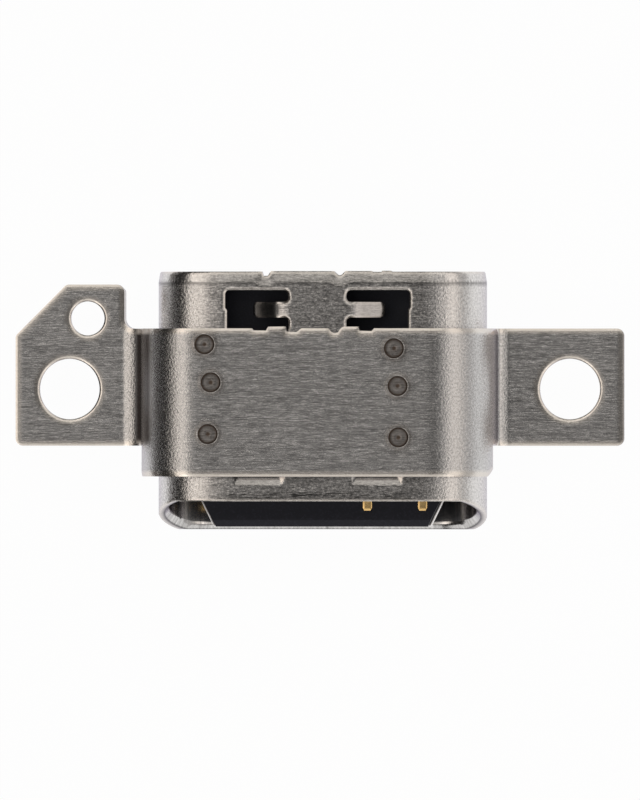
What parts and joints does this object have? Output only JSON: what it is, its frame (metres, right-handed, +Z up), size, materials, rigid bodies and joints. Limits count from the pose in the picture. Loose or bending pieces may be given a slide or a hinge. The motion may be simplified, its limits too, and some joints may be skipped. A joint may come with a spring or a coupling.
{
  "type": "usb-c socket",
  "caption": "Board-level USB-C socket: slanted steel shell, black tongue with gold contacts, and a welded strap bracket with screw ears.",
  "frame": {"origin": "centre of the shell's flat underside, on the line through the centres of the two ear screw holes", "axes": "+X across the mouth to the right ear, +Y from the mouth to the rear, +Z up through the strap"},
  "size_m": [0.0166, 0.007, 0.0034],
  "materials": {
    "shell_steel": "drawn steel with a fine speckled nickel finish",
    "bracket_steel": "fine brushed spring steel with rolled punched edges",
    "mid_plate_steel": "plain stamped steel",
    "ground_plate_steel": "plain stamped steel",
    "black_moulding": "matte moulded black",
    "contact_gold": "gold-plated stamped strip"
  },
  "bodies": {
    "root": {"shell": "shell_steel", "bracket": "bracket_steel", "mid_plate": "mid_plate_steel", "ground_plate_upper": "ground_plate_steel", "ground_plate_lower": "ground_plate_steel", "tongue_housing": "black_moulding", "upper_contact_carrier": "black_moulding", "lower_contact_carrier": "black_moulding", "contact_a1": "contact_gold", "contact_a2": "contact_gold", "contact_a3": "contact_gold", "contact_a4": "contact_gold", "contact_a5": "contact_gold", "contact_a6": "contact_gold", "contact_a7": "contact_gold", "contact_a8": "contact_gold", "contact_a9": "contact_gold", "contact_a10": "contact_gold", "contact_a11": "contact_gold", "contact_a12": "contact_gold", "contact_b1": "contact_gold", "contact_b2": "contact_gold", "contact_b3": "contact_gold", "contact_b4": "contact_gold", "contact_b5": "contact_gold", "contact_b6": "contact_gold", "contact_b7": "contact_gold", "contact_b8": "contact_gold", "contact_b9": "contact_gold", "contact_b10": "contact_gold", "contact_b11": "contact_gold", "contact_b12": "contact_gold"}
  },
  "joints": []
}
